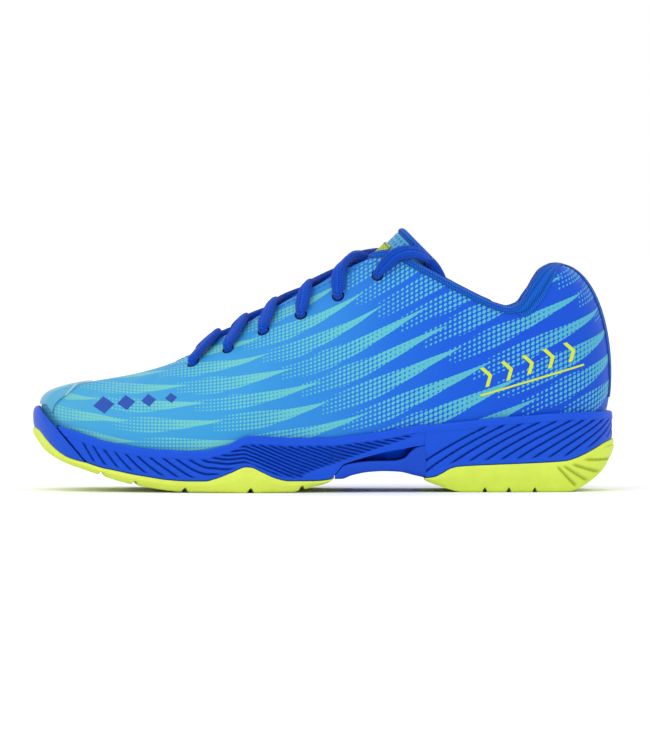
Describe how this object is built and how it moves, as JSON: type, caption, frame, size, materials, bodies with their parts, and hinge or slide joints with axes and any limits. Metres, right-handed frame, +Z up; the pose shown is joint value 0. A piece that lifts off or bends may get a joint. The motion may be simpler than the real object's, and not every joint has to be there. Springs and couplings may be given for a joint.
{
  "type": "court shoe",
  "caption": "Low-cut indoor court shoe for racket sports, left foot: cupped foam midsole on a split rubber outsole, printed upper, padded collar, laced over a tongue.",
  "frame": {"origin": "centre of the bounding box in plan, on the ground plane under the sole", "axes": "+X along the shoe towards the heel, +Y towards the medial (inner) side, +Z up"},
  "size_m": [0.2904, 0.1038, 0.1306],
  "materials": {
    "rubber_lime": "satin moulded rubber",
    "midsole_foam_blue": "matte moulded foam",
    "toe_guard_blue": "satin moulded rubber",
    "shank_plastic_blue": "satin moulded plastic",
    "pod_gel_grey": "soft matte gel",
    "board_white": "felted board",
    "sockliner_blue": "brushed knit over foam",
    "upper_skin_blue": "film-printed mesh",
    "toe_film_cyan": "satin welded film",
    "tape_blue": "woven tape",
    "stiffener_grey": "raw fibre sheet",
    "lining_knit_blue": "knit",
    "collar_padding": "open foam",
    "collar_knit_blue": "ribbed knit piping",
    "tongue_mesh_cyan": "open mesh over foam",
    "label_lime": "woven label",
    "lace_royal": "ribbed woven lace",
    "aglet_plastic": "smooth plastic"
  },
  "bodies": {
    "shoe": {"outsole_forefoot": "rubber_lime", "outsole_heel": "rubber_lime", "midsole": "midsole_foam_blue", "toe_bumper": "toe_guard_blue", "arch_shank": "shank_plastic_blue", "cushion_heel": "pod_gel_grey", "cushion_forefoot": "pod_gel_grey", "strobel_board": "board_white", "upper_shell": "upper_skin_blue", "toe_overlay": "toe_film_cyan", "back_tape": "tape_blue", "eyestay_backer": "tape_blue", "toe_puff": "stiffener_grey", "heel_counter": "stiffener_grey", "vamp_lining": "lining_knit_blue", "collar_lining": "lining_knit_blue", "collar_padding": "collar_padding", "collar_binding": "collar_knit_blue", "lace": "lace_royal", "aglet_lateral": "aglet_plastic", "aglet_medial": "aglet_plastic"},
    "tongue": {"tongue": "tongue_mesh_cyan", "tongue_binding": "collar_knit_blue", "tongue_label": "label_lime"},
    "sockliner": {"insole": "sockliner_blue"}
  },
  "joints": [
    {"name": "tongue_hinge", "type": "hinge", "parent": "shoe", "child": "tongue", "pos_m": [-0.076, 0, 0.0555], "axis": [0, 1, 0], "range_deg": [0, 10], "stiffness_Nm_per_rad": 0.3},
    {"name": "insole_lift", "type": "hinge", "parent": "shoe", "child": "sockliner", "pos_m": [-0.134, 0, 0.029], "axis": [0, -1, 0], "range_deg": [0, 6]}
  ]
}
